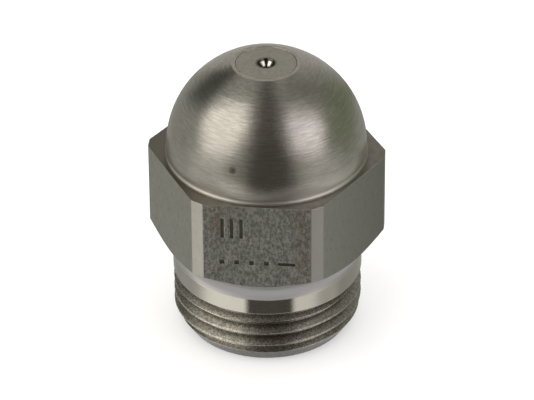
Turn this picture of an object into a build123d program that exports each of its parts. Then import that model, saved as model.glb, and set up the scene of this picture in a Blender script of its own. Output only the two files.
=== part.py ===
"""Oil burner nozzle: a simplex pressure-atomising nozzle, as four separate pieces.

The body carries a 9/16-24 UNEF inlet thread, a plain neck, a 5/8 in hexagon turned down at
its corners and a dome with a flat crown. Inside it a hard orifice disc sits under the crown
with its nose flush in it, a distributor with tangential slots is held against the disc's
cone, and a slotted lock screw in a 3/8-32 UNEF thread holds the distributor up.

Frame: Z is the nozzle's axis, z = 0 is the inlet end face and +Z points the way the spray
leaves. Two wrench flats face -Y and +Y, and four more lie at 60 degree steps. Millimetres.
"""

from build123d import *
from math import cos, radians, sin, sqrt, tan
import os

INCH = 25.4

# ---------------------------------------------------------------- shared by several pieces
FLANK_SLOPE = tan(radians(30))     # half of a 60 degree thread form
TURN_MARGIN = 0.10                 # turned cones run this far past a thread's crest
SEAT_GAP = 0.02                    # left between faces that press together

# 3/8-32 UNEF thread of the body bore and the lock screw
SCREW_PITCH = INCH / 32
SCREW_MAJOR_R = INCH * 3 / 8 / 2
THREAD_START = 37.0                # angle where both grooves start
THREAD_START_Z = THREAD_START / 360 * SCREW_PITCH

# ---------------------------------------------------------------- body, outside
# inlet thread, 9/16-24 UNEF external
INLET_PITCH = INCH / 24
INLET_R = 7.144                    # major radius
INLET_ROOT_R = INLET_R - 0.6134 * INLET_PITCH
INLET_TURNS = 5.2                  # turns of the cut groove, ending in the relief ring
INLET_START = 111.0                # angle where its groove starts
LEAD_R = 6.24                      # radius of the end face
LEAD_H = 1.40                      # height of the lead-in chamfer

# relief ring between thread and neck
RING_Z = 4.22
RING_R = INLET_ROOT_R - 0.06
RING_CONE_Z = RING_Z - 0.56        # where the cone down to the ring starts
RING_BOTTOM = RING_Z - 0.14
RING_TOP = RING_Z + 0.12

# neck and hexagon
NECK_R = 7.175
NECK_BOTTOM = 4.62
NECK_CHAMFER = 0.10
NECK_TOP = 5.98                    # start of the concave underside
NECK_OVERLAP = 0.30                # the neck's bevelled run up into the hexagon
UNDER_ARC_R = 2.38                 # form-tool radius under the hexagon
UNDER_ARC_ANGLE = 58.0             # degrees of arc, then a straight cone
HEX_AF = INCH * 5 / 8
HEX_TURN_R = 8.895                 # corners turned down to this radius
HEX_TOP = 14.90                    # height of the turned corners
HEX_DISH = 0.08                    # the shoulder is this much lower at the dome
SHOULDER_Z = HEX_TOP - HEX_DISH

# dome
DOME_R = 7.522
DOME_Z = 15.265                    # height of the sphere's centre
DOME_BLEND = 34.8                  # polar angle where the sphere runs into the crown's arc
DOME_OVERLAP = 1.0                 # depth of the dome's foot inside the hexagon
FOOT_FILLET = 0.34                 # small concave fillet at the dome's foot
FOOT_Z = 15.145                    # where the fillet starts, under a short straight wall
FOOT_ARC_ANGLE = 45                # degrees of fillet, down to the rim
CROWN_R = 2.546
OVERALL = 22.394

# marks engraved in the -Y flat: width, height, centres (x, z)
MARK_DEPTH = 0.07
MARKS = (
    (0.26, 1.7, ((-2.55, 12.9), (-1.85, 12.9), (-1.15, 12.9))),            # ticks
    (0.36, 0.36, ((-2.6, 9.9), (-1.5, 9.9), (-0.4, 9.9), (0.7, 9.9))),     # pips
    (1.3, 0.26, ((2.2, 9.9),)),                                            # bar
)

# ---------------------------------------------------------------- body, inside
SCREW_MINOR_R = 4.335
GROOVE_R = 4.80                    # bottom of the internal thread's groove
MOUTH_R = 5.285                    # 45 degree mouth chamfer at the end face
SLEEVE_R = 6.00                    # the bored sleeve's outside, inside the thread core
SLEEVE_TOP = 9.60
BODY_THREAD_TOP = 7.70
RELIEF_R = 4.95                    # relief above the internal thread
RELIEF_BOTTOM = 7.95
RELIEF_TOP = 8.40
RELIEF_CONE_TOP = 8.90             # the cone above the relief meets the bore here
BORE_R = 4.25
LEDGE_Z = 19.90                    # the disc's flange seats up against this ledge
CROWN_HOLE_R = 2.29

# ---------------------------------------------------------------- orifice disc
DISC_FLANGE_R = 4.235
DISC_FLANGE_CHAMFER = 0.15
DISC_BOTTOM = 17.50
DISC_FLANGE_TOP = LEDGE_Z - SEAT_GAP
DISC_NOSE_R = 2.275
DISC_NOSE_CHAMFER = 0.03
CONE_OPEN_R = 3.40                 # mouth of the 45 degree cone
SWIRL_R = 1.00
SWIRL_H = 0.60
SWIRL_CHAMFER = 0.05
ORIFICE_R = 0.20
ORIFICE_FOOT = 21.20               # where the orifice's straight part starts
SINK_R = 0.68
SINK_FLOOR_R = ORIFICE_R + 0.10
SINK_DEPTH = 0.40

# ---------------------------------------------------------------- distributor
DIST_BOTTOM = 8.50
DIST_FOOT_R = 2.60
DIST_FOOT_CHAMFER = 0.2
DIST_FOOT_CONE = 0.5               # height of the cone from the foot out to the land
DIST_LAND_R = 4.19
DIST_LAND_BOTTOM = 9.60
DIST_LAND_TOP = 13.00
DIST_LAND_CHAMFER = 0.3
DIST_FLAT = 3.62                   # milled flats of the land, distance from the axis
DIST_STEM_R = 3.60
DIST_WAIST_CUT = 0.35              # the waist above the land is this much under the stem
DIST_WAIST_BOTTOM = DIST_LAND_TOP + 0.25
DIST_WAIST_TOP = 16.2
DIST_TIP_Z = 19.86
# radius + height is constant on its 45 degree nose cone, a seat gap below the disc's cone
NOSE_SUM = CONE_OPEN_R + DISC_BOTTOM - SEAT_GAP * sqrt(2)
DIST_TIP_R = NOSE_SUM - DIST_TIP_Z
DIST_SLOTS = 4
SLOT_LENGTH = 6.4
SLOT_W = 0.40
SLOT_D = 0.34
SLOT_OFFSET = 0.62                 # tangential offset of each slot

# ---------------------------------------------------------------- lock screw
SCREW_BOTTOM = 1.30
SCREW_THREAD_TOP = SCREW_BOTTOM + 4.20
SCREW_R = 4.66                     # crest, with running clearance in the body's thread
SCREW_ROOT_R = 4.22
SCREW_END_R = SCREW_ROOT_R - 0.10  # end faces of the threaded part
FLANK_GAP = 0.05                   # axial clearance on each flank
SCREW_NECK_R = 3.40
SCREW_NECK_CHAMFER = 0.25
SCREW_NECK_OVERLAP = 0.8           # run of the neck down inside the thread
SCREW_TOP = DIST_BOTTOM - SEAT_GAP
SCREW_BORE_R = 1.90
SCREW_BORE_TOP = 7.55
BORE_TIP_R = 0.6                   # flat end of the bore's drill point
BORE_TIP_H = 0.6
CROSS_HOLE_R = 0.75
CROSS_HOLE_Z = 6.60
DRIVE_SLOT_W = 1.50
DRIVE_SLOT_D = 1.60


# ================================================================ outline points and cutter
def under_arc(angle):
    """Point (r, z) on the concave arc under the hexagon, at an angle from its foot."""
    return (
        NECK_R + UNDER_ARC_R * (1 - cos(radians(angle))),
        NECK_TOP + UNDER_ARC_R * sin(radians(angle)),
    )


def dome_point(angle):
    """Point (r, z) on the dome's sphere, at a polar angle from the crown."""
    return DOME_R * sin(radians(angle)), DOME_Z + DOME_R * cos(radians(angle))


def foot_point(angle):
    """Point (r, z) on the fillet under the dome, at an angle from the dome's widest circle."""
    return (
        DOME_R + FOOT_FILLET * (1 - cos(radians(angle))),
        FOOT_Z - FOOT_FILLET * sin(radians(angle)),
    )


RIM_R = foot_point(FOOT_ARC_ANGLE)[0]   # thin rim left standing under the fillet


def groove_cutter(pitch, turns, radius, start_z, floor_half, reach):
    """Helical cutter with 60 degree flanks and its floor at the given radius.

    floor_half is half the floor's width; reach is how far the groove opens from the floor,
    outwards if positive and inwards if negative.
    """
    mouth_half = floor_half + abs(reach) * FLANK_SLOPE
    with BuildPart() as cutter:
        with BuildLine() as helix:
            Helix(pitch=pitch, height=turns * pitch, radius=radius, center=(0, 0, start_z))
        with BuildSketch(Plane(origin=helix.line @ 0, x_dir=(1, 0, 0), z_dir=(0, -1, 0))):
            with BuildLine():
                Polyline(
                    (0, -floor_half),
                    (reach, -mouth_half),
                    (reach, mouth_half),
                    (0, floor_half),
                    (0, -floor_half),
                )
            make_face()
        sweep(path=helix.line, is_frenet=True)
    return cutter.part


# ================================================================ nozzle body
def make_outer_core():
    """Ring with the inlet thread, from the end face to the relief ring."""
    thread_h = INLET_R - INLET_ROOT_R
    groove = groove_cutter(
        pitch=INLET_PITCH,
        turns=INLET_TURNS,
        radius=INLET_ROOT_R,
        start_z=RING_Z - INLET_TURNS * INLET_PITCH,
        floor_half=INLET_PITCH * 7 / 16 - thread_h * FLANK_SLOPE,
        reach=thread_h + 0.06,
    )
    # the groove is cut in a long plain cylinder, which is then turned and bored to shape
    with BuildPart() as core:
        with BuildSketch(Plane.XY.offset(-2.5)):
            Circle(INLET_R)
        extrude(amount=8.0)
        add(groove, rotation=(0, 0, INLET_START), mode=Mode.SUBTRACT)
        with BuildSketch(Plane.XZ):
            outer_r = INLET_R + TURN_MARGIN
            with BuildLine():
                Polyline(
                    (SLEEVE_R, 0),
                    (LEAD_R, 0),
                    (outer_r, LEAD_H + TURN_MARGIN * LEAD_H / (INLET_R - LEAD_R)),
                    (outer_r, RING_CONE_Z),
                    (RING_R, RING_BOTTOM),
                    (RING_R, RING_TOP),
                    (SLEEVE_R, RING_TOP),
                    (SLEEVE_R, 0),
                )
            make_face()
        revolve(axis=Axis.Z, mode=Mode.INTERSECT)
    return core.part


def make_inner_sleeve():
    """Sleeve with the mouth chamfer, threaded bore and relief."""
    # the extra half turn puts the body's groove over the crests of the screw
    groove = groove_cutter(
        pitch=SCREW_PITCH,
        turns=11.8,
        radius=GROOVE_R,
        start_z=THREAD_START_Z - 1.5 * SCREW_PITCH,
        floor_half=SCREW_PITCH / 16 - (GROOVE_R - SCREW_MAJOR_R) * FLANK_SLOPE,
        reach=-(GROOVE_R - SCREW_MINOR_R + 0.09),
    )
    with BuildPart() as sleeve:
        with BuildSketch(Plane.XZ):
            with BuildLine():
                Polyline(
                    (SLEEVE_R, 0),
                    (SLEEVE_R, SLEEVE_TOP),
                    (BORE_R, SLEEVE_TOP),
                    (BORE_R, RELIEF_CONE_TOP),
                    (RELIEF_R, RELIEF_TOP),
                    (RELIEF_R, RELIEF_BOTTOM),
                    (SCREW_MINOR_R, BODY_THREAD_TOP),
                    (SCREW_MINOR_R, MOUTH_R - SCREW_MINOR_R),
                    (MOUTH_R, 0),
                    (SLEEVE_R, 0),
                )
            make_face()
        revolve(axis=Axis.Z)
        add(groove, rotation=(0, 0, THREAD_START), mode=Mode.SUBTRACT)
    return sleeve.part


def make_hexagon():
    """Hexagon between its form-turned underside and its dished shoulder."""
    arc_end = under_arc(UNDER_ARC_ANGLE)
    cone_rise = tan(radians(90 - UNDER_ARC_ANGLE))
    corner_foot_z = arc_end[1] + (HEX_TURN_R - arc_end[0]) * cone_rise
    with BuildPart() as hexagon:
        with BuildSketch(Plane.XY.offset(4.0)):
            RegularPolygon(radius=HEX_AF / 2, side_count=6, major_radius=False)
        extrude(amount=13.0)
        with BuildSketch(Plane.XZ):
            with BuildLine():
                ThreePointArc((NECK_R, NECK_TOP), under_arc(UNDER_ARC_ANGLE / 2), arc_end)
                Polyline(
                    arc_end,
                    (HEX_TURN_R, corner_foot_z),
                    (HEX_TURN_R, HEX_TOP),
                    (RIM_R + 0.06, SHOULDER_Z),
                    (SLEEVE_R, SHOULDER_Z),
                    (SLEEVE_R, NECK_TOP),
                    (NECK_R, NECK_TOP),
                )
            make_face()
        revolve(axis=Axis.Z, mode=Mode.INTERSECT)
    return hexagon.part


def make_nozzle_body():
    """Hexagon, neck, dome and marks, joined to the threaded sleeve and core."""
    hexagon = make_hexagon()
    inner_sleeve = make_inner_sleeve()
    outer_core = make_outer_core()
    with BuildPart() as body:
        add(hexagon)
        # neck, from the relief ring up into the hexagon
        with BuildSketch(Plane.XZ):
            with BuildLine():
                Polyline(
                    (SLEEVE_R, RING_TOP),
                    (RING_R, RING_TOP),
                    (NECK_R - NECK_CHAMFER, NECK_BOTTOM),
                    (NECK_R, NECK_BOTTOM + NECK_CHAMFER),
                    (NECK_R, NECK_TOP),
                    (NECK_R - NECK_OVERLAP, NECK_TOP + NECK_OVERLAP),
                    (SLEEVE_R, NECK_TOP + NECK_OVERLAP),
                    (SLEEVE_R, RING_TOP),
                )
            make_face()
        revolve(axis=Axis.Z)
        # dome: foot rim and its fillet, short wall, sphere, flatter arc up to the crown
        with BuildSketch(Plane.XZ):
            foot_end = foot_point(FOOT_ARC_ANGLE)
            with BuildLine():
                Polyline(
                    (CROWN_R, OVERALL),
                    (CROWN_HOLE_R, OVERALL),
                    (CROWN_HOLE_R, LEDGE_Z),
                    (BORE_R, LEDGE_Z),
                    (BORE_R, SLEEVE_TOP),
                    (SLEEVE_R, SLEEVE_TOP),
                    (SLEEVE_R, SHOULDER_Z - DOME_OVERLAP),
                    (RIM_R, SHOULDER_Z - DOME_OVERLAP),
                    foot_end,
                )
                ThreePointArc(foot_end, foot_point(FOOT_ARC_ANGLE / 2), foot_point(0))
                Line(foot_point(0), dome_point(90))
                ThreePointArc(dome_point(90), dome_point(60), dome_point(DOME_BLEND))
                TangentArc(
                    dome_point(DOME_BLEND),
                    (CROWN_R, OVERALL),
                    tangent=(-cos(radians(DOME_BLEND)), sin(radians(DOME_BLEND))),
                )
            make_face()
        revolve(axis=Axis.Z)
        # plain engraved grade marks
        with BuildSketch(Plane.XZ.offset(HEX_AF / 2 - MARK_DEPTH)):
            for width, height, centres in MARKS:
                with Locations(*centres):
                    Rectangle(width, height)
        extrude(amount=1.0, mode=Mode.SUBTRACT)
        add(inner_sleeve)
        add(outer_core)
    return body.part


# ================================================================ orifice disc
def make_orifice_disc():
    """Flanged disc with a cone, a swirl chamber and a countersunk orifice."""
    cone_top = DISC_BOTTOM + (CONE_OPEN_R - SWIRL_R)
    swirl_top = cone_top + SWIRL_H
    sink_z = OVERALL - SINK_DEPTH
    flange_in_r = DISC_FLANGE_R - DISC_FLANGE_CHAMFER
    with BuildPart() as disc:
        with BuildSketch(Plane.XZ):
            with BuildLine():
                Polyline(
                    (CONE_OPEN_R, DISC_BOTTOM),
                    (flange_in_r, DISC_BOTTOM),
                    (DISC_FLANGE_R, DISC_BOTTOM + DISC_FLANGE_CHAMFER),
                    (DISC_FLANGE_R, DISC_FLANGE_TOP - DISC_FLANGE_CHAMFER),
                    (flange_in_r, DISC_FLANGE_TOP),
                    (DISC_NOSE_R, DISC_FLANGE_TOP),
                    (DISC_NOSE_R, OVERALL - DISC_NOSE_CHAMFER),
                    (DISC_NOSE_R - DISC_NOSE_CHAMFER, OVERALL),
                    (SINK_R, OVERALL),
                    (SINK_FLOOR_R, sink_z),
                    (ORIFICE_R, sink_z),
                    (ORIFICE_R, ORIFICE_FOOT),
                    (SWIRL_R - SWIRL_CHAMFER, swirl_top),
                    (SWIRL_R, swirl_top - SWIRL_CHAMFER),
                    (SWIRL_R, cone_top),
                    (CONE_OPEN_R, DISC_BOTTOM),
                )
            make_face()
        revolve(axis=Axis.Z)
    return disc.part


# ================================================================ distributor
def make_distributor():
    """Stem with a flatted guide land and a slotted nose cone parallel to the disc's."""
    waist_r = DIST_STEM_R - DIST_WAIST_CUT
    land_in_r = DIST_LAND_R - DIST_LAND_CHAMFER
    with BuildPart() as distributor:
        with BuildSketch(Plane.XZ):
            with BuildLine():
                Polyline(
                    (0, DIST_BOTTOM),
                    (DIST_FOOT_R - DIST_FOOT_CHAMFER, DIST_BOTTOM),
                    (DIST_FOOT_R, DIST_BOTTOM + DIST_FOOT_CHAMFER),
                    (DIST_FOOT_R, DIST_LAND_BOTTOM - DIST_FOOT_CONE),
                    (land_in_r, DIST_LAND_BOTTOM),
                    (DIST_LAND_R, DIST_LAND_BOTTOM + DIST_LAND_CHAMFER),
                    (DIST_LAND_R, DIST_LAND_TOP - DIST_LAND_CHAMFER),
                    (land_in_r, DIST_LAND_TOP),
                    (waist_r, DIST_WAIST_BOTTOM),
                    (waist_r, DIST_WAIST_TOP),
                    (DIST_STEM_R, DIST_WAIST_TOP + DIST_WAIST_CUT),
                    (DIST_STEM_R, NOSE_SUM - DIST_STEM_R),
                    (DIST_TIP_R, DIST_TIP_Z),
                    (0, DIST_TIP_Z),
                    (0, DIST_BOTTOM),
                )
            make_face()
        revolve(axis=Axis.Z)
        # milled flats let the oil past the guide land
        mill_depth = 2.0
        with BuildSketch(Plane.XY.offset(DIST_LAND_BOTTOM - 0.6)):
            with PolarLocations(DIST_FLAT + mill_depth / 2, 4, start_angle=45):
                Rectangle(mill_depth, 9.0)
        extrude(amount=DIST_LAND_TOP - DIST_LAND_BOTTOM + 0.9, mode=Mode.SUBTRACT)
        # tangential slots along the cone's face, each offset to one side of the axis
        slot_mid_r = (DIST_TIP_R + DIST_STEM_R) / 2
        slot_mid = Vector(0, 0, NOSE_SUM - slot_mid_r)
        for i in range(DIST_SLOTS):
            angle = radians(360 / DIST_SLOTS * i)
            out = Vector(cos(angle), sin(angle), 0)
            side = Vector(-sin(angle), cos(angle), 0)
            slot_plane = Plane(
                origin=out * slot_mid_r + side * SLOT_OFFSET + slot_mid,
                x_dir=(out - Vector(0, 0, 1)).normalized(),    # down the slope
                z_dir=(out + Vector(0, 0, 1)).normalized(),    # out of the cone's face
            )
            with Locations(slot_plane.location):
                Box(SLOT_LENGTH, SLOT_W, 2 * SLOT_D, mode=Mode.SUBTRACT)
    return distributor.part


# ================================================================ lock screw
def make_lock_screw():
    """Threaded screw with a plain neck, a blind bore, cross holes and a driver slot."""
    # wound in step with the body's groove and opened by the clearance on both flanks
    land_half = SCREW_PITCH / 16 + (SCREW_MAJOR_R - SCREW_ROOT_R) * FLANK_SLOPE
    groove = groove_cutter(
        pitch=SCREW_PITCH,
        turns=8.0,
        radius=SCREW_ROOT_R,
        start_z=THREAD_START_Z,
        floor_half=SCREW_PITCH / 2 - land_half + FLANK_GAP,
        reach=SCREW_R - SCREW_ROOT_R + 0.04,
    )
    outer_r = SCREW_R + TURN_MARGIN
    chamfer_h = outer_r - SCREW_END_R
    neck_foot = SCREW_THREAD_TOP - SCREW_NECK_OVERLAP
    overcut = 0.5                  # the bore and slot cutters start this far below the screw
    hole_half_length = 5
    with BuildPart() as screw:
        # the groove is cut in a long plain bar, which is then turned to length with both
        # ends chamfered
        with BuildSketch(Plane.XY.offset(-1.8)):
            Circle(SCREW_R)
        extrude(amount=9.6)
        add(groove, rotation=(0, 0, THREAD_START), mode=Mode.SUBTRACT)
        with BuildSketch(Plane.XZ):
            with BuildLine():
                Polyline(
                    (0, SCREW_BOTTOM),
                    (SCREW_END_R, SCREW_BOTTOM),
                    (outer_r, SCREW_BOTTOM + chamfer_h),
                    (outer_r, SCREW_THREAD_TOP - chamfer_h),
                    (SCREW_END_R, SCREW_THREAD_TOP),
                    (0, SCREW_THREAD_TOP),
                    (0, SCREW_BOTTOM),
                )
            make_face()
        revolve(axis=Axis.Z, mode=Mode.INTERSECT)
        # plain neck and pusher face
        with BuildSketch(Plane.XZ):
            with BuildLine():
                Polyline(
                    (0, neck_foot),
                    (SCREW_NECK_R, neck_foot),
                    (SCREW_NECK_R, SCREW_TOP - SCREW_NECK_CHAMFER),
                    (SCREW_NECK_R - SCREW_NECK_CHAMFER, SCREW_TOP),
                    (0, SCREW_TOP),
                    (0, neck_foot),
                )
            make_face()
        revolve(axis=Axis.Z)
        # blind oil bore with a drill-point end
        with BuildSketch(Plane.XZ):
            with BuildLine():
                Polyline(
                    (0, SCREW_BOTTOM - overcut),
                    (SCREW_BORE_R, SCREW_BOTTOM - overcut),
                    (SCREW_BORE_R, SCREW_BORE_TOP - BORE_TIP_H),
                    (BORE_TIP_R, SCREW_BORE_TOP),
                    (0, SCREW_BORE_TOP),
                    (0, SCREW_BOTTOM - overcut),
                )
            make_face()
        revolve(axis=Axis.Z, mode=Mode.SUBTRACT)
        # cross holes along X and along Y
        for plane in (Plane.YZ, Plane.XZ):
            with BuildSketch(plane.offset(-hole_half_length)):
                with Locations((0, CROSS_HOLE_Z)):
                    Circle(CROSS_HOLE_R)
            extrude(amount=2 * hole_half_length, mode=Mode.SUBTRACT)
        # driver slot, along X across the bottom face
        with BuildSketch(Plane.XY.offset(SCREW_BOTTOM - overcut)):
            Rectangle(12, DRIVE_SLOT_W)
        extrude(amount=overcut + DRIVE_SLOT_D, mode=Mode.SUBTRACT)
    return screw.part


# ================================================================ write
PIECES = {
    "nozzle_body": make_nozzle_body,
    "orifice_disc": make_orifice_disc,
    "distributor": make_distributor,
    "lock_screw": make_lock_screw,
}

os.makedirs("parts", exist_ok=True)
for name, make_piece in PIECES.items():
    piece = make_piece()
    piece.label = name
    export_step(piece, f"parts/{name}.step")
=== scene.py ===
# A turned steel nozzle standing upright on a pale floor. Its axis is Z and its front faces -Y.
# From the bottom up the body has a thread, a neck, a ring of side flats, a shoulder and a dome.
# The orifice disc sits at the top; the distributor and the lock screw are the inner parts.
# The CAD meshes keep their shape: only materials, floor, light and camera are made here.
import math
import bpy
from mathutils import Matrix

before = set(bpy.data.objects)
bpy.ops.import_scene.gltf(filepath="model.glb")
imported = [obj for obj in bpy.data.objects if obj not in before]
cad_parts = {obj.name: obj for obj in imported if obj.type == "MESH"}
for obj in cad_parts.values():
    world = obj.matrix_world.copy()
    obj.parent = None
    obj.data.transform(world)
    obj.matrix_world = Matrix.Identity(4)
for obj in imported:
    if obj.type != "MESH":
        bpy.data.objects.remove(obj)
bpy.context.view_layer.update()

from types import SimpleNamespace

import bpy
from mathutils import Matrix, Vector

scene = bpy.context.scene
MM = 0.001


# ---------------------------------------------------------------- shader helpers
class Value:
    """An output socket. Arithmetic and methods add nodes and give their output."""

    def __init__(self, tree, socket):
        self.tree = tree
        self.socket = socket

    def __add__(self, other):
        return self.tree.math("ADD", self, other)

    def __radd__(self, other):
        return self.tree.math("ADD", other, self)

    def __sub__(self, other):
        return self.tree.math("SUBTRACT", self, other)

    def __rsub__(self, other):
        return self.tree.math("SUBTRACT", other, self)

    def __mul__(self, other):
        return self.tree.math("MULTIPLY", self, other)

    def __abs__(self):
        return self.tree.math("ABSOLUTE", self)

    def at_least(self, other):
        return self.tree.math("MAXIMUM", self, other)

    def at_most(self, other):
        return self.tree.math("MINIMUM", self, other)

    def ramp(self, start, end, first=0.0, last=1.0, shape="LINEAR"):
        """Goes from first to last while this value goes from start to end."""
        inputs = {"Value": self, "From Min": start, "From Max": end,
                  "To Min": first, "To Max": last}
        return self.tree.node("MapRange", inputs, "Result", interpolation_type=shape)

    def rise(self, start, end):
        """Smooth step from 0 at start to 1 at end."""
        return self.ramp(start, end, shape="SMOOTHSTEP")

    def fall(self, start, end):
        """Smooth step from 1 at start to 0 at end."""
        return 1.0 - self.rise(start, end)

    def band(self, rise_start, rise_end, fall_start, fall_end):
        """1 between two soft edges, 0 outside them."""
        return self.rise(rise_start, rise_end) * self.fall(fall_start, fall_end)

    def swing(self, amount):
        """Turns a 0..1 pattern into one centred on 0 and spanning amount."""
        return (self - 0.5) * amount

    def split(self):
        x = self.tree.node("SeparateXYZ", {0: self})
        return x, x.sibling(1), x.sibling(2)

    def sibling(self, output):
        """Another output of the same node."""
        return Value(self.tree, self.socket.node.outputs[output])

    def stretched(self, x, y, z):
        return self.tree.vector("MULTIPLY", self, (x, y, z))

    def noise(self, scale, detail, rough):
        inputs = {"Vector": self, "Scale": scale, "Detail": detail, "Roughness": rough}
        return self.tree.node("TexNoise", inputs, "Fac")


class Tree:
    """A node tree, emptied and ready to build in."""

    def __init__(self, owner):
        owner.use_nodes = True
        self.owner = owner
        self.nodes = owner.node_tree.nodes
        self.links = owner.node_tree.links
        self.nodes.clear()

    def node(self, kind, inputs={}, output=0, **settings):
        """Adds a node; inputs are values or numbers, and colours are given as RGB."""
        made = self.nodes.new("ShaderNode" + kind)
        for name, setting in settings.items():
            setattr(made, name, setting)
        for name, value in inputs.items():
            socket = made.inputs[name]
            if isinstance(value, Value):
                self.links.new(value.socket, socket)
            elif socket.type == "RGBA":
                socket.default_value = (*value, 1.0)
            else:
                socket.default_value = value
        return Value(self, made.outputs[output])

    def finish(self, kind, shader):
        """Links the shader to the surface of a new output node."""
        made = self.nodes.new("ShaderNodeOutput" + kind)
        self.links.new(shader.socket, made.inputs[0])

    def math(self, operation, *operands):
        return self.node("Math", dict(enumerate(operands)), operation=operation)

    def vector(self, operation, *operands, output=0):
        return self.node("VectorMath", dict(enumerate(operands)), output, operation=operation)

    def scale(self, vector, factor):
        return self.node("VectorMath", {0: vector, "Scale": factor}, operation="SCALE")

    def mix(self, factor, first, second):
        return self.node("Mix", {0: factor, 2: first, 3: second}, data_type="FLOAT")

    def mix_colour(self, factor, first, second):
        return self.node("Mix", {0: factor, 6: first, 7: second}, 2, data_type="RGBA")

    def paint(self, colour, *layers):
        """Lays (mask, strength, colour) layers over a colour, in order."""
        for mask, strength, tint in layers:
            colour = self.mix_colour(mask * strength, colour, tint)
        return colour


class MetalTree(Tree):
    """The tree of a metal material, with object coordinates in mm."""

    def __init__(self, name):
        super().__init__(bpy.data.materials.new(name))
        self.position = self.scale(self.node("TexCoord", output="Object"), 1000.0)
        self.x, self.y, self.z = self.position.split()
        self.radius = self.math("SQRT", self.x * self.x + self.y * self.y)
        divisor = self.radius.at_least(0.05)    # keeps clear of zero on the axis
        # cosine and sine of the angle round Z, which have no seam
        self.cosine = self.math("DIVIDE", self.x, divisor)
        self.sine = self.math("DIVIDE", self.y, divisor)

    def streaks(self, along, round_scale, along_scale, detail, rough):
        """Lathe marks: noise drawn out round Z, varying with the distance along."""
        around = (self.cosine * round_scale, self.sine * round_scale, along * along_scale)
        vector = self.node("CombineXYZ", dict(enumerate(around)))
        return vector.noise(scale=1.0, detail=detail, rough=rough)

    def bevel(self, radius, samples):
        """The normal with edges rounded; radius in mm."""
        return self.node("Bevel", {"Radius": radius * MM}, samples=samples)

    def hollows(self, distance, samples):
        """1 where nearby surfaces shut out the light; distance in mm."""
        inputs = {"Distance": distance * MM}
        occlusion = self.node("AmbientOcclusion", inputs, "AO", samples=samples)
        return (1.0 - occlusion).rise(0.25, 0.92)

    def metal(self, colour, roughness, height, strength, depth, normal, **extra):
        """Ends the material as a metal with relief up to depth mm over the normal."""
        bump = self.node("Bump", {"Height": height, "Strength": strength,
                                  "Distance": depth * MM, "Normal": normal})
        inputs = {"Base Color": colour, "Metallic": 1.0, "Roughness": roughness,
                  "Normal": bump, "Anisotropic": 0.0, **extra}
        self.finish("Material", self.node("BsdfPrincipled", inputs))
        return self.owner


# ---------------------------------------------------------------- body steel
DOME_FOOT = (14.905, 14.96)     # soft edge between shoulder and dome, height in mm
ARC_CENTRE = 15.265             # height of the centre of the dome's arc, mm
ARC_RADIUS = 7.52               # turns the angle round that centre into a length, mm
DENT_PLACE = (-1.78, -7.00, 17.38)    # on the front of the dome, left of centre, mm


def body_regions(t, normal):
    """Soft masks of the turned part's regions, from heights and radii in mm."""
    x, y, z, radius = t.x, t.y, t.z, t.radius
    on = SimpleNamespace()
    on.normal_x, normal_y, normal_z = normal.split()
    on.dome = z.rise(*DOME_FOOT)
    vertical = (1.0 - abs(normal_z)).rise(0.985, 0.997)
    on.shoulder = z.fall(*DOME_FOOT) * z.rise(14.3, 14.6) * (1.0 - vertical)
    outer = radius.rise(7.72, 7.80)
    on.corner = radius.rise(8.862, 8.885) * vertical
    on.flats = vertical * outer * (1.0 - on.corner)
    on.under = z.band(5.95, 6.10, 8.6, 8.9) * (1.0 - vertical * outer)
    on.neck = z.band(4.45, 4.65, 6.0, 6.25)
    on.thread = z.fall(4.30, 4.45)
    # the bore, left out above a height of 16
    on.inside = (radius + z.rise(15.0, 16.0) * 6.0).fall(5.7, 5.9)
    # the part of the front flat round the grade marks, and the sunk floors of the marks
    on.front = y.fall(-7.86, -7.80) * z.band(9.0, 9.3, 13.9, 14.1)
    on.front = on.front * abs(x).fall(3.2, 3.5)
    on.marks = on.front * y.rise(-7.932, -7.922)
    on.facing = (normal_y * -1.0).rise(0.75, 0.95)      # faces the front
    return on


def body_patterns(t):
    """The 0..1 patterns that colour, roughness and relief share."""
    place = t.position
    arc = t.math("ARCTAN2", t.radius, (t.z - ARC_CENTRE).at_least(0.0))
    profile = arc * ARC_RADIUS + (ARC_CENTRE - t.z).at_most(40.0)
    of = SimpleNamespace()
    of.ring = t.streaks(profile, round_scale=2.2, along_scale=13.0, detail=4.0, rough=0.62)
    of.wide = t.streaks(profile, round_scale=5.5, along_scale=4.2, detail=4.0, rough=0.72)
    of.fine = t.streaks(profile, round_scale=6.0, along_scale=34.0, detail=2.0, rough=0.6)
    of.blotch = place.noise(scale=0.42, detail=3.0, rough=0.55)
    of.stain = place.noise(scale=1.3, detail=4.0, rough=0.62)
    of.grain = place.noise(scale=9.0, detail=3.0, rough=0.6)
    # drawn-bar grain: short streaks that run up and down
    of.bar = place.stretched(6.5, 6.5, 1.1).noise(scale=1.0, detail=3.0, rough=0.6)
    # 0 in the pits, 1 between them
    cells = {"Vector": place.stretched(1.0, 1.0, 0.72), "Scale": 2.3}
    of.unpitted = t.node("TexVoronoi", cells, "Distance", feature="F1").rise(0.04, 0.20)
    # dull patches, coarse and fine
    coarse = place.stretched(1.0, 1.0, 0.55).noise(scale=5.2, detail=3.0, rough=0.62)
    small = place.stretched(1.0, 1.0, 0.70).noise(scale=13.0, detail=2.0, rough=0.6)
    of.mottle = coarse * 0.55 + small * 0.45
    return of


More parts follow.
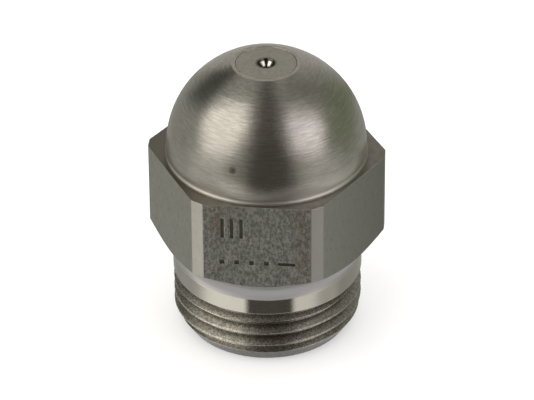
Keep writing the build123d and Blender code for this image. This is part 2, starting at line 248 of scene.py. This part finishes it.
def flats_colour(t, on, of):
    """Pitted, mottled bar steel with rusty upright stripes on the front flat, and painted shade
    on the side flats.
    """
    right_stripe = abs(t.x - 3.35).fall(0.10, 0.75)
    left_stripe = abs(t.x + 3.0).fall(0.15, 0.95) * t.z.rise(11.0, 13.5)
    rust = on.facing * of.stain.rise(0.40, 0.62) * right_stripe.at_least(left_stripe)
    colour = t.mix_colour(of.bar.ramp(0.30, 0.72), (0.425, 0.42, 0.383), (0.575, 0.570, 0.530))
    colour = t.paint(
        colour,
        (of.mottle.rise(0.40, 0.60), t.mix(on.facing, 0.17, 0.80), (0.170, 0.163, 0.143)),
        (on.normal_x.rise(0.5, 0.9), 0.62, (0.30, 0.30, 0.280)),    # painted shade on the right-hand flats
        (1.0 - of.unpitted, 0.60, (0.13, 0.12, 0.10)),
        (rust, 0.50, (0.25, 0.195, 0.125)))
    # painted shade: the right side darkens outwards, and the left side is a little dimmer
    right_flat_shade = t.x.ramp(4.7, 8.8, first=1.12, last=0.74)
    shade = t.mix(on.normal_x.rise(0.5, 0.9), 1.0, right_flat_shade)
    shade = shade * (1.0 - (on.normal_x * -1.0).rise(0.5, 0.9) * 0.12)
    return t.scale(colour, shade)


def body_colour(t, on, of, edge, hollow_shade, dent, halo):
    """Warm grey steel, then each region's tint, with painted highlights and shade over them."""
    x, z, radius = t.x, t.z, t.radius
    # painted highlight on the lower dome, right of centre
    low_dome_highlight = on.dome * z.fall(15.3, 16.7) * x.rise(-1.5, 0.5)
    colour = t.mix_colour(of.blotch.ramp(0.3, 0.7), (0.47, 0.452, 0.418), (0.53, 0.515, 0.485))
    colour = t.paint(
        colour,
        (of.stain.rise(0.5, 0.72), 0.35, (0.40, 0.365, 0.315)),
        (on.dome, of.ring.rise(0.35, 0.75) * 0.34, (0.64, 0.625, 0.595)),
        (on.dome, of.wide.rise(0.42, 0.66) * 0.50, (0.37, 0.355, 0.325)),
        (on.dome, of.wide.rise(0.50, 0.30) * 0.36, (0.70, 0.685, 0.655)),
        (low_dome_highlight, 0.55, (0.84, 0.825, 0.79)))
    colour = t.mix_colour(on.flats, colour, flats_colour(t, on, of))

    # painted shade on the shoulder, patchy and strongest on the left; less of it in reflections
    direct = 1.0 - t.node("LightPath", output="Is Glossy Ray") * 0.75
    shade_patches = t.mix(of.stain.rise(0.35, 0.65), 0.58, 0.80)
    shoulder_shade_strength = t.mix(t.cosine.rise(-0.75, -0.10), 0.93, shade_patches)
    # painted light on the left of the thread and painted shade on its right
    thread_side_light = t.mix_colour(x.rise(-5.0, 3.6), (0.95, 0.91, 0.84), (0.56, 0.54, 0.50))
    # painted shade in the thread's roots
    root_shade = on.thread * z.rise(1.3, 1.9) * (radius.fall(6.60, 6.95) * radius.rise(5.9, 6.1))
    # painted shade over the lowest turn of the thread, next to the floor
    thread_end_shade = z.fall(0.85, 1.15) * radius.rise(6.0, 6.2)
    # a painted highlight ring at the dome's foot, and painted shade on the wall just below it
    foot_highlight = z.rise(14.86, 14.91) * (z.fall(14.98, 15.14) * radius.band(7.2, 7.3, 7.64, 7.68))
    wall = z.fall(14.87, 14.90) * (z.rise(14.5, 14.6) * radius.fall(7.68, 7.74))
    colour = t.paint(
        colour,
        (on.under, 0.75, (0.56, 0.545, 0.55)),
        # painted shade on the shoulder
        (on.shoulder * direct, shoulder_shade_strength, (0.20, 0.185, 0.160)),
        # painted shade: the corners darken towards the right
        (on.corner, x.rise(1.0, 3.0), (0.39, 0.385, 0.36)),
        (on.thread, 0.78, thread_side_light),
        (on.thread, of.mottle.rise(0.45, 0.55) * 0.58, (0.19, 0.17, 0.145)),
        (root_shade, 0.45, (0.13, 0.118, 0.10)),
        (thread_end_shade, 0.80, (0.125, 0.118, 0.104)),
        (on.neck, 0.5, (0.62, 0.60, 0.56)),
        # painted highlight on the edges, then painted shade in the hollows
        (edge, 0.70, (0.86, 0.84, 0.80)),
        (hollow_shade, t.mix(on.thread, 0.72, 0.45), (0.10, 0.088, 0.070)),
        # painted highlight at the dome's foot, then painted shade on the wall below it
        (foot_highlight, 0.6, (0.80, 0.785, 0.75)),
        (wall, 0.35, (0.22, 0.205, 0.175)),
        (on.marks, 0.85, (0.085, 0.080, 0.062)))
    # painted shade inside the bore
    colour = t.mix_colour(on.inside, colour, (0.22, 0.20, 0.175))
    return t.paint(colour,
                   (dent, 0.85, (0.075, 0.062, 0.050)),
                   (halo, 0.30, (0.24, 0.20, 0.165)))


def body_roughness(t, on, of, hollow_shade):
    rough = (0.205 + of.ring.swing(0.14) + of.wide.swing(0.12)
             + t.z.fall(15.2, 16.9) * 0.17 + of.blotch.swing(0.12))
    # region, its middle roughness, the pattern that varies it, and by how much
    for mask, middle, pattern, amount in (
            (on.flats, 0.43, of.bar, 0.22),
            (on.neck, 0.10, of.ring, 0.08),
            (on.under, 0.30, of.ring, 0.10),
            (on.thread, 0.27, of.grain, 0.25)):
        rough = t.mix(mask, rough, middle + pattern.swing(amount))
    return (rough + of.grain.swing(0.08) + hollow_shade * 0.12).at_least(0.08)


def body_relief(on, of, dent):
    """Each pattern times its height and the region it shows in."""
    turned = 1.0 - on.flats.at_least((on.thread * 0.4).at_least(on.neck * 0.6))
    return (of.ring * 0.75 * turned
            + of.fine * 0.40 * turned
            + of.wide * 0.60 * (turned * (1.0 - on.neck))
            + of.mottle * 0.8 * on.flats.at_least(on.thread)
            + of.bar * 1.0 * on.flats
            + of.unpitted.at_most(1.0) * 0.9 * on.flats
            + of.grain * 0.22
            - dent * 3.0)


def body_material():
    t = MetalTree("turned_stainless_body")
    normal = t.node("NewGeometry", output="Normal")
    on = body_regions(t, normal)
    of = body_patterns(t)

    # painted highlight on the edges, painted shade in the hollows
    bevel = t.bevel(radius=0.09, samples=6)
    sharpness = 1.0 - t.vector("DOT_PRODUCT", bevel, normal.sibling("True Normal"), output=1)
    edge = sharpness.rise(0.01, 0.16) * (1.0 - on.thread * 0.25) * (1.0 - on.front)
    hollow_shade = t.hollows(distance=0.55, samples=8) * 0.28

    # one small dent on the dome with a stain round it, both ragged
    away = t.vector("DISTANCE", t.position, DENT_PLACE, output=1)
    dent = (away + of.grain.swing(0.35)).fall(0.06, 0.44)
    halo = (away + of.stain.swing(0.8)).fall(0.2, 1.1)

    tangent = t.node("Tangent", direction_type="RADIAL", axis="Z")
    return t.metal(
        colour=body_colour(t, on, of, edge, hollow_shade, dent, halo),
        roughness=body_roughness(t, on, of, hollow_shade),
        height=body_relief(on, of, dent), strength=0.55, depth=0.012, normal=bevel,
        Anisotropic=(1.0 - on.flats.at_least(on.thread)) * 0.20, Tangent=tangent)


# ---------------------------------------------------------------- disc and inner parts
DISC_TOP = (21.5, 21.8)     # soft lower edge of the disc's top, height in mm


def disc_material():
    t = MetalTree("lapped_disc_steel")
    z, radius = t.z, t.radius
    ring = t.streaks(radius, round_scale=1.5, along_scale=9.0, detail=3.0, rough=0.6)
    grain = t.position.noise(scale=6.5, detail=4.0, rough=0.70)
    blotch = t.position.noise(scale=1.1, detail=3.0, rough=0.55)
    colour = t.mix_colour(blotch.ramp(0.3, 0.7), (0.47, 0.455, 0.405), (0.54, 0.505, 0.465))
    colour = t.paint(
        colour,
        # painted reflection: a greenish tint towards the right
        (t.x.rise(-1.2, 1.8), 0.5, (0.47, 0.485, 0.42)),
        (grain.rise(0.46, 0.66), 0.50, (0.34, 0.325, 0.29)),
        (grain.rise(0.46, 0.32), 0.40, (0.66, 0.64, 0.60)))
    # painted shade in the middle, with painted glints on its left and right, inside a ring of
    # painted shade
    centre = radius.fall(0.62, 0.70) * z.rise(*DISC_TOP)
    painted_glints = abs(t.cosine).band(0.20, 0.36, 0.80, 0.96) * radius.fall(0.50, 0.58)
    centre_shade_and_glints = t.mix_colour(painted_glints, (0.09, 0.085, 0.075), (0.95, 0.94, 0.90))
    colour = t.mix_colour(centre, colour, centre_shade_and_glints)
    rim_shade = radius.band(0.60, 0.66, 0.74, 0.86) * z.rise(*DISC_TOP)
    return t.metal(
        colour=t.paint(colour, (rim_shade, 0.6, (0.12, 0.11, 0.095))),
        roughness=t.mix(centre, 0.42 + grain.swing(0.2), 0.10),
        height=ring * 0.5 + grain * 0.5, strength=(1.0 - centre) * 0.6, depth=0.010,
        normal=t.bevel(radius=0.05, samples=4))


def inner_material(name, dark, light, stain, rough):
    """Turned metal streaked between two colours, with stain blotches and painted shade in the
    hollows.
    """
    t = MetalTree(name)
    ring = t.streaks(t.z + t.radius, round_scale=2.0, along_scale=12.0, detail=4.0, rough=0.6)
    grain = t.position.noise(scale=8.0, detail=3.0, rough=0.6)
    blotch = t.position.noise(scale=0.8, detail=3.0, rough=0.55)
    colour = t.paint(
        t.mix_colour(ring.ramp(0.3, 0.7), dark, light),
        (blotch.rise(0.48, 0.75), 0.5, stain),
        # painted shade in the hollows
        (t.hollows(distance=0.4, samples=6), 0.6, tuple(c * 0.25 for c in stain)))
    return t.metal(colour=colour, roughness=rough + ring.swing(0.2),
                   height=ring + grain * 0.4, strength=0.5, depth=0.010,
                   normal=t.bevel(radius=0.06, samples=4))


materials = {
    "nozzle_body": body_material(),
    "orifice_disc": disc_material(),
    "distributor": inner_material(
        "fine_turned_distributor_steel", dark=(0.50, 0.49, 0.46), light=(0.62, 0.61, 0.585),
        stain=(0.40, 0.37, 0.32), rough=0.24),
    "lock_screw": inner_material(
        "machined_screw_brass", dark=(0.60, 0.43, 0.17), light=(0.78, 0.60, 0.30),
        stain=(0.42, 0.29, 0.13), rough=0.26),
}
for name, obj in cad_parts.items():
    obj.data.materials.clear()
    obj.data.materials.append(materials[name])


# ---------------------------------------------------------------- floor
def floor_material():
    """Half clear to the camera, and fully clear to other rays or below z = 0.2..0.8 mm."""
    t = Tree(bpy.data.materials.new("pale_floor"))
    camera_ray = t.node("LightPath", output="Is Camera Ray")
    # the floor's height in the lock screw's frame, mm: it grows as the screw is let down
    from_screw = t.node("TexCoord", output="Object", object=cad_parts["lock_screw"])
    drop = (from_screw.split()[2] * 1000.0).rise(0.2, 0.8)
    pale = t.node("BsdfDiffuse", {"Color": (0.95, 0.95, 0.945)})
    clear = t.node("BsdfTransparent")
    shown = camera_ray * ((1.0 - drop) * 0.55)
    t.finish("Material", t.node("MixShader", {0: shown, 1: clear, 2: pale}))
    return t.owner


# the floor lies 0.03 mm below the part
bpy.ops.mesh.primitive_circle_add(vertices=96, radius=0.6, fill_type="NGON",
                                  location=(0, 0, -0.00003))
floor = bpy.context.object
floor.name = "floor"
floor.data.materials.append(floor_material())

# ---------------------------------------------------------------- studio
# The studio is laid out by the direction half way between a reflected ray and the camera,
# which is the surface normal that shows it: across to the right and up in the main view.
VIEW = (0.08140406, -0.83330933, 0.54678052)
VIEW_RIGHT = (0.99526244, 0.09722489, 0.0)
VIEW_UP = (-0.05316067, 0.54419011, 0.83727598)

SURROUND = (0.350, 0.348, 0.310)
# Each panel: its colour, then its soft edges (a, b, c, s), each a smooth step
# of a * across + b * up - c over -s..s. Later panels lie over earlier ones.
PANELS = [
    # dull green wall, right
    ((0.215, 0.235, 0.165), [(1, 0, 0.56, 0.05), (-1, 0, -0.86, 0.05),
                             (0, 1, -0.06, 0.08), (0, -1, -0.62, 0.10)]),
    # above the right box
    ((0.240, 0.240, 0.205), [(1, 0, 0.20, 0.06), (0, 1, 0.40, 0.06),
                             (0, -1, -0.62, 0.06), (-1, 0, -0.60, 0.05)]),
    # bench, left
    ((0.420, 0.415, 0.385), [(-1, 0, 0.38, 0.08), (0, -1, 0.06, 0.10), (1, 0, -0.90, 0.05)]),
    # bench, left, near
    ((0.550, 0.540, 0.490), [(-1, 0, 0.40, 0.08), (0, -1, 0.10, 0.10), (1, 0, -0.76, 0.06)]),
    # bench, right
    ((0.510, 0.500, 0.460), [(1, 0, 0.38, 0.08), (-1, 0, -0.72, 0.06), (0, -1, 0.12, 0.08)]),
    # box, right
    ((1.160, 1.090, 1.080), [(1, 0, 0.20, 0.08), (1, 0.5, 0.24, 0.07),
                             (-1, 0, -0.565, 0.04), (-1, -0.5, -0.65, 0.05),
                             (0, -1, -0.29, 0.12), (0, 1, -0.11, 0.10)]),
    # dark wall, back left
    ((0.080, 0.082, 0.066), [(-0.707, 0.707, 0.69, 0.05), (0.707, -0.707, -0.89, 0.06),
                             (0.707, 0.707, -0.22, 0.12), (-0.707, -0.707, -0.35, 0.12)]),
    # box, left
    ((1.380, 1.310, 1.180), [(-1, 0, 0.18, 0.06), (-1, 0.7, 0.27, 0.09),
                             (1, 0, -0.63, 0.08), (0.707, -0.707, -0.625, 0.05),
                             (0, -1, -0.40, 0.06), (0, 1, -0.11, 0.14)]),
    # dark gap in front
    ((0.078, 0.070, 0.060), [(1, -0.20, -0.17, 0.08), (-1, -0.22, -0.205, 0.07),
                             (0, -1, -0.62, 0.07), (0, 1, -0.60, 0.03)]),
    # bench, near
    ((0.560, 0.550, 0.560), [(0, -1, 0.605, 0.018)]),
    # bench light, left
    ((1.050, 1.030, 0.930), [(1, 0, -0.74, 0.05), (-1, 0, 0.225, 0.03),
                             (0, 1, -0.60, 0.02), (0, -1, 0.43, 0.03)]),
    # bench light, right
    ((0.880, 0.850, 0.790), [(1, 0, 0.265, 0.03), (-1, 0, -0.56, 0.07),
                             (0, 1, -0.61, 0.02), (0, -1, 0.49, 0.02)]),
    # ceiling behind
    ((0.480, 0.462, 0.425), [(0, 1, 0.74, 0.05)]),
]


def build_world():
    """The panels light the part; the camera itself sees plain white."""
    t = Tree(bpy.data.worlds.new("studio"))
    scene.world = t.owner
    ray = t.vector("NORMALIZE", t.node("TexCoord", output="Generated"))
    half = t.vector("NORMALIZE", t.vector("ADD", ray, VIEW))
    across = t.vector("DOT_PRODUCT", half, VIEW_RIGHT, output=1)
    up = t.vector("DOT_PRODUCT", half, VIEW_UP, output=1)
    light = SURROUND
    for colour, edges in PANELS:
        mask = None
        for a, b, c, s in edges:
            side = (across * a + up * b).rise(c - s, c + s)
            mask = mask * side if mask else side
        light = t.mix_colour(mask, light, colour)
    camera_ray = t.node("LightPath", output="Is Camera Ray")
    panels = t.node("Background", {0: light, 1: 1.0})
    white = t.node("Background", {0: (1, 1, 1), 1: 1.0})
    t.finish("World", t.node("MixShader", {0: camera_ray, 1: panels, 2: white}))


def add_overhead_light():
    """A wide disc above the part that makes no highlights; metres and watts."""
    data = bpy.data.lights.new("overhead", "AREA")
    data.shape = "DISK"
    data.size = 1.3
    data.energy = 8.0
    data.color = (1, 1, 1)
    light = bpy.data.objects.new("overhead", data)
    scene.collection.objects.link(light)
    place = Vector((0.0, 0.0, 0.60))
    target = Vector((0, 0, 0.01))
    light.location = place
    light.rotation_mode = "QUATERNION"
    light.rotation_quaternion = (place - target).to_track_quat("Z", "Y")
    light.visible_glossy = False
    light.visible_camera = False


build_world()
add_overhead_light()

# ---------------------------------------------------------------- camera
EYE = Vector((22.94, -234.83, 169.35)) * MM
TARGET = Vector((0.0, 0.0, 10.2)) * MM
# the first view from the eye, whose roll is kept when the camera turns to the target
AZIMUTH, PITCH, ROLL = math.radians(7.862), math.radians(31.84), math.radians(-1.65)
FIRST_LENS = 119.8      # mm
ZOOM = 2.12


def add_camera():
    data = bpy.data.cameras.new("camera")
    camera = bpy.data.objects.new("camera", data)
    scene.collection.objects.link(camera)
    scene.camera = camera
    forward = Vector((-math.sin(AZIMUTH) * math.cos(PITCH),
                      math.cos(AZIMUTH) * math.cos(PITCH),
                      -math.sin(PITCH)))
    right = Vector((math.cos(AZIMUTH), math.sin(AZIMUTH), 0))
    up = right.cross(forward)
    rolled_right = right * math.cos(ROLL) + up * math.sin(ROLL)
    rolled_up = up * math.cos(ROLL) - right * math.sin(ROLL)
    first = Matrix((rolled_right, rolled_up, -forward)).transposed()
    turn = forward.rotation_difference((TARGET - EYE).normalized())
    camera.rotation_mode = "QUATERNION"
    camera.rotation_quaternion = turn @ first.to_quaternion()
    camera.location = EYE
    data.sensor_width = 36.0
    data.lens = FIRST_LENS * ZOOM
    data.clip_start = 0.005
    data.clip_end = 10


add_camera()
scene.view_settings.view_transform = "Standard"
scene.view_settings.look = "None"
